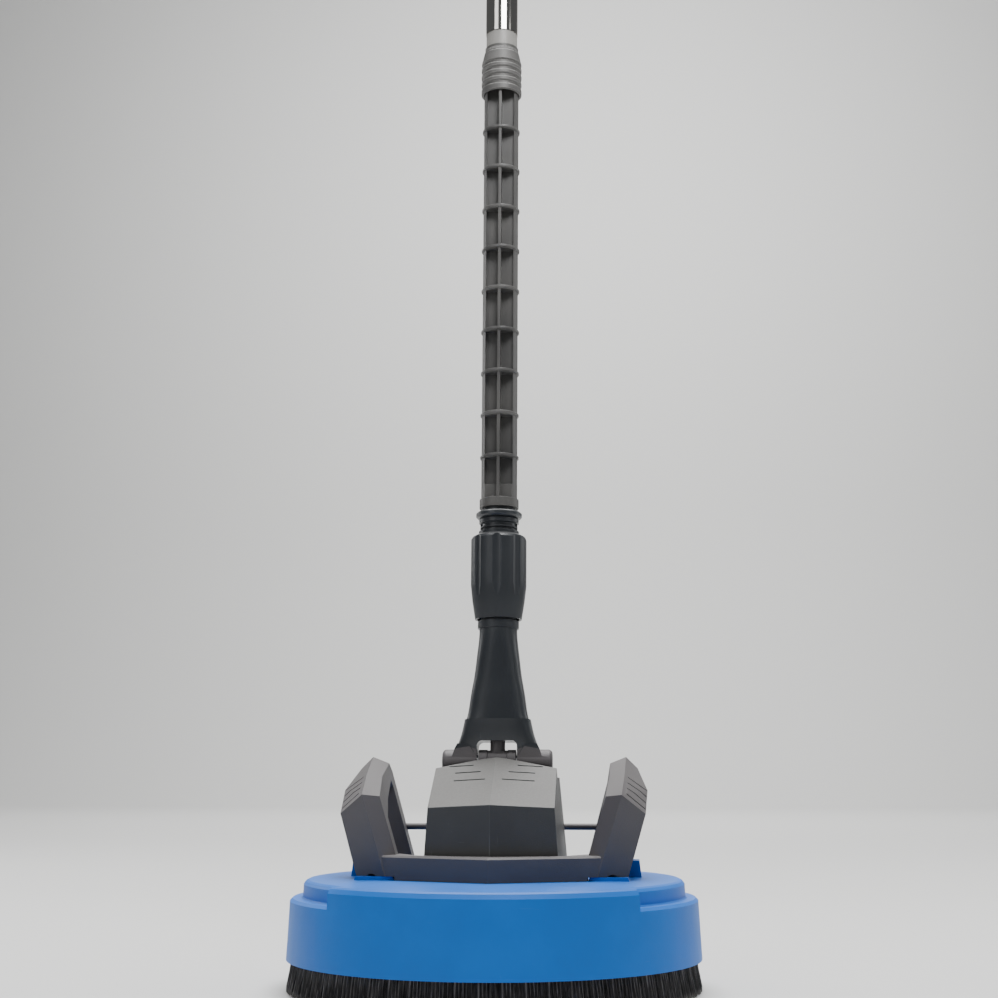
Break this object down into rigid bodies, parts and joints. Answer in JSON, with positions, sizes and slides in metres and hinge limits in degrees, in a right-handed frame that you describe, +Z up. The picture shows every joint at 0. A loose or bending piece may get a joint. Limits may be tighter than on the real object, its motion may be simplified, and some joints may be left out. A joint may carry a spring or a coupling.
{
  "type": "rotary surface cleaner",
  "caption": "Rotary surface cleaner: round blue hood with a brush skirt and spinning spray arms, two hand grips and a tilting lance.",
  "frame": {"origin": "on the rotor axis, at the floor under the brush skirt", "axes": "+Z up along the rotor axis; the front with the V-shaped bar faces -Y; the lance leans back towards +Y"},
  "size_m": [0.2918, 0.2918, 1.0511],
  "materials": {
    "hood_blue": "satin blue moulded plastic",
    "frame_grey": "mid grey fine-textured moulded plastic",
    "neck_charcoal": "charcoal moulded plastic",
    "cover_grey": "dark grey ribbed moulded plastic",
    "sleeve_grey": "light grey plastic",
    "lance_chrome": "polished chrome on steel",
    "bristle_black": "black and grey nylon bristles",
    "brush_carrier": "black plastic",
    "hub_alloy": "cast alloy",
    "bearing_steel": "ground steel",
    "shaft_steel": "turned stainless steel",
    "brass": "turned brass",
    "seal_rubber": "black rubber",
    "screw_steel": "zinc plated"
  },
  "bodies": {
    "head": {"hood": "hood_blue", "brush_ring": "brush_carrier", "brush_bristles": "bristle_black", "bearing_housing": "hub_alloy", "bearing_outer_races": "bearing_steel", "bearing_circlip": "bearing_steel", "rotor_seal": "seal_rubber", "pivot_block": "frame_grey", "pivot_axle": "shaft_steel", "inlet_nipple": "brass", "housing_cover": "frame_grey", "handle_frame": "frame_grey", "frame_screws": "screw_steel", "hub_screws": "screw_steel", "cover_screws": "screw_steel"},
    "rotor": {"rotor_shaft": "shaft_steel", "shaft_circlip": "bearing_steel", "rotor_block": "brass", "spray_arms": "shaft_steel", "nozzle_holders": "brass", "spray_nozzles": "shaft_steel", "bearing_inner_races": "bearing_steel", "bearing_balls": "bearing_steel"},
    "neck": {"neck_front_shell": "neck_charcoal", "neck_rear_shell": "neck_charcoal", "swivel_eye": "frame_grey", "eye_seals": "seal_rubber", "neck_pipe": "shaft_steel", "neck_socket": "neck_charcoal", "neck_screws": "screw_steel", "bayonet_plug": "neck_charcoal", "plug_seals": "seal_rubber", "core_tube": "shaft_steel", "extension_cover": "cover_grey", "lance_sleeve": "sleeve_grey", "lance_tube": "lance_chrome", "lance_end_cap": "cover_grey", "quick_plug": "brass", "quick_plug_seal": "seal_rubber"},
    "collar": {"lock_collar": "neck_charcoal"},
    "top_ring": {"lock_ring": "cover_grey"}
  },
  "joints": [
    {"name": "rotor_spin", "type": "hinge", "parent": "head", "child": "rotor", "pos_m": [0, 0, 0.045], "axis": [0, 0, 1], "continuous": true},
    {"name": "neck_tilt", "type": "hinge", "parent": "head", "child": "neck", "pos_m": [0, 0.032, 0.1575], "axis": [-1, 0, 0], "range_deg": [-4, 55]},
    {"name": "collar_turn", "type": "hinge", "parent": "neck", "child": "collar", "pos_m": [0, 0.04298, 0.29707], "axis": [0, 0.0785, 0.9969], "range_deg": [0, 90]},
    {"name": "top_ring_turn", "type": "hinge", "parent": "neck", "child": "top_ring", "pos_m": [0, 0.07515, 0.7058], "axis": [0, 0.0785, 0.9969], "range_deg": [0, 90]}
  ]
}
